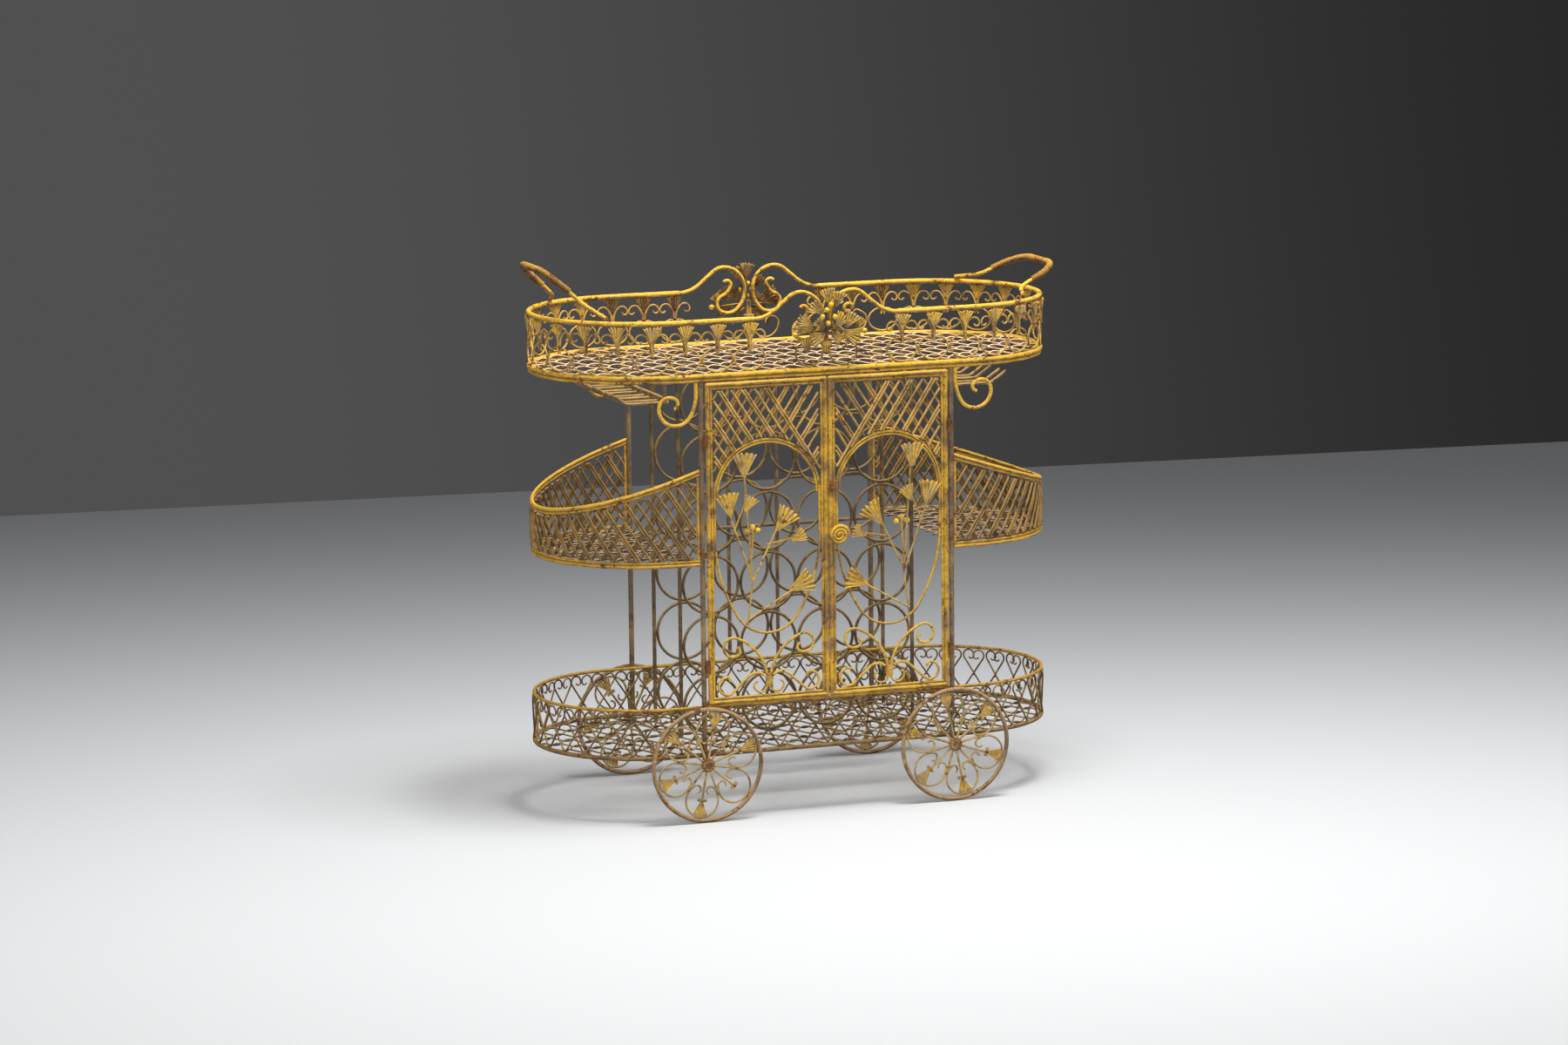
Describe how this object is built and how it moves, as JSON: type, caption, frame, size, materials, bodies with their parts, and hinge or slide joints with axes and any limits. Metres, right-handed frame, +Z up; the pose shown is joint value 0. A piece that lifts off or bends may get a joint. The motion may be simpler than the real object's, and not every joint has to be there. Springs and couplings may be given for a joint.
{
  "type": "serving trolley",
  "caption": "Wire serving trolley with a galleried top tray, bottle rings behind two latticed doors, side baskets, stemware prongs and spoked wheels.",
  "frame": {"origin": "on the floor, under the middle of the bounding box", "axes": "+X to the right handle, -Y to the doors, +Z up"},
  "size_m": [0.8511, 0.3916, 0.8524],
  "materials": {
    "posts_primer": "grey-green primer with rust",
    "rack_wire": "worn ochre paint over iron",
    "lower_rim_paint": "worn ochre paint over iron",
    "lower_top_rim_paint": "chipped yellow paint",
    "lower_floor_weave": "dark olive paint",
    "heart_wire": "worn ochre paint over iron",
    "tray_rim_paint": "chipped yellow paint",
    "tray_floor_weave": "faded beige paint on woven wire",
    "gallery_wire": "chipped yellow paint",
    "bouquet_paint": "worn ochre paint over iron",
    "handle_paint": "chipped yellow paint",
    "grip_strand": "worn ochre paint over iron",
    "basket_rail_paint": "chipped yellow paint",
    "basket_lattice_wire": "worn ochre paint over iron",
    "basket_floor_weave": "faded beige paint on woven wire",
    "prong_wire": "worn ochre paint over iron",
    "corner_scroll_paint": "chipped yellow paint",
    "door_frame_paint": "chipped yellow paint",
    "door_lattice_wire": "worn ochre paint over iron",
    "door_spray_paint": "worn ochre paint over iron",
    "door_scroll_paint": "chipped yellow paint",
    "hinge_iron": "rusted iron",
    "knob_paint": "chipped yellow paint",
    "catch_iron": "rusted iron",
    "axle_iron": "rusted iron",
    "wheel_rim_rust": "rusted iron",
    "wheel_spider_paint": "worn ochre paint over iron"
  },
  "bodies": {
    "frame": {"front_left_post": "posts_primer", "front_right_post": "posts_primer", "back_left_post": "posts_primer", "back_right_post": "posts_primer", "back_bars": "posts_primer", "back_rail": "posts_primer", "rack_uprights": "rack_wire", "rack_front_rings": "rack_wire", "rack_rear_rings": "rack_wire", "lower_tray_bottom_rim": "lower_rim_paint", "lower_tray_top_rim": "lower_top_rim_paint", "lower_tray_floor": "lower_floor_weave", "lower_hearts_front": "heart_wire", "lower_hearts_back": "heart_wire", "lower_hearts_ends": "heart_wire", "top_tray_floor_rim": "tray_rim_paint", "top_tray_rail": "tray_rim_paint", "top_tray_floor": "tray_floor_weave", "gallery_front": "gallery_wire", "gallery_back": "gallery_wire", "gallery_left_end": "gallery_wire", "gallery_right_end": "gallery_wire", "front_bouquet": "bouquet_paint", "back_bouquet": "bouquet_paint", "left_handle": "handle_paint", "right_handle": "handle_paint", "left_grip_winding": "grip_strand", "right_grip_winding": "grip_strand", "left_basket_rails": "basket_rail_paint", "right_basket_rails": "basket_rail_paint", "left_basket_lattice": "basket_lattice_wire", "right_basket_lattice": "basket_lattice_wire", "left_basket_floor": "basket_floor_weave", "right_basket_floor": "basket_floor_weave", "left_prongs": "prong_wire", "right_prongs": "prong_wire", "corner_scrolls": "corner_scroll_paint", "post_barrels": "hinge_iron", "stub_axles": "axle_iron"},
    "left_door": {"left_door_frame": "door_frame_paint", "left_door_lattice": "door_lattice_wire", "left_door_spray": "door_spray_paint", "left_door_scrollwork": "door_scroll_paint", "left_door_barrels": "hinge_iron"},
    "right_door": {"right_door_frame": "door_frame_paint", "right_door_lattice": "door_lattice_wire", "right_door_spray": "door_spray_paint", "right_door_scrollwork": "door_scroll_paint", "right_door_barrels": "hinge_iron", "door_knob": "knob_paint", "door_catch": "catch_iron"},
    "front_left_wheel": {"front_left_wheel_rim": "wheel_rim_rust", "front_left_wheel_spider": "wheel_spider_paint"},
    "front_right_wheel": {"front_right_wheel_rim": "wheel_rim_rust", "front_right_wheel_spider": "wheel_spider_paint"},
    "back_left_wheel": {"back_left_wheel_rim": "wheel_rim_rust", "back_left_wheel_spider": "wheel_spider_paint"},
    "back_right_wheel": {"back_right_wheel_rim": "wheel_rim_rust", "back_right_wheel_spider": "wheel_spider_paint"}
  },
  "joints": [
    {"name": "left_door_hinge", "type": "hinge", "parent": "frame", "child": "left_door", "pos_m": [-0.1992, -0.184, 0.4], "axis": [0, 0, -1], "range_deg": [0, 160]},
    {"name": "right_door_hinge", "type": "hinge", "parent": "frame", "child": "right_door", "pos_m": [0.1992, -0.184, 0.4], "axis": [0, 0, 1], "range_deg": [0, 160]},
    {"name": "front_left_wheel_spin", "type": "hinge", "parent": "frame", "child": "front_left_wheel", "pos_m": [-0.204, -0.188, 0.09], "axis": [0, 1, 0], "continuous": true},
    {"name": "front_right_wheel_spin", "type": "hinge", "parent": "frame", "child": "front_right_wheel", "pos_m": [0.204, -0.188, 0.09], "axis": [0, 1, 0], "continuous": true},
    {"name": "back_left_wheel_spin", "type": "hinge", "parent": "frame", "child": "back_left_wheel", "pos_m": [-0.204, 0.188, 0.09], "axis": [0, 1, 0], "continuous": true},
    {"name": "back_right_wheel_spin", "type": "hinge", "parent": "frame", "child": "back_right_wheel", "pos_m": [0.204, 0.188, 0.09], "axis": [0, 1, 0], "continuous": true}
  ]
}
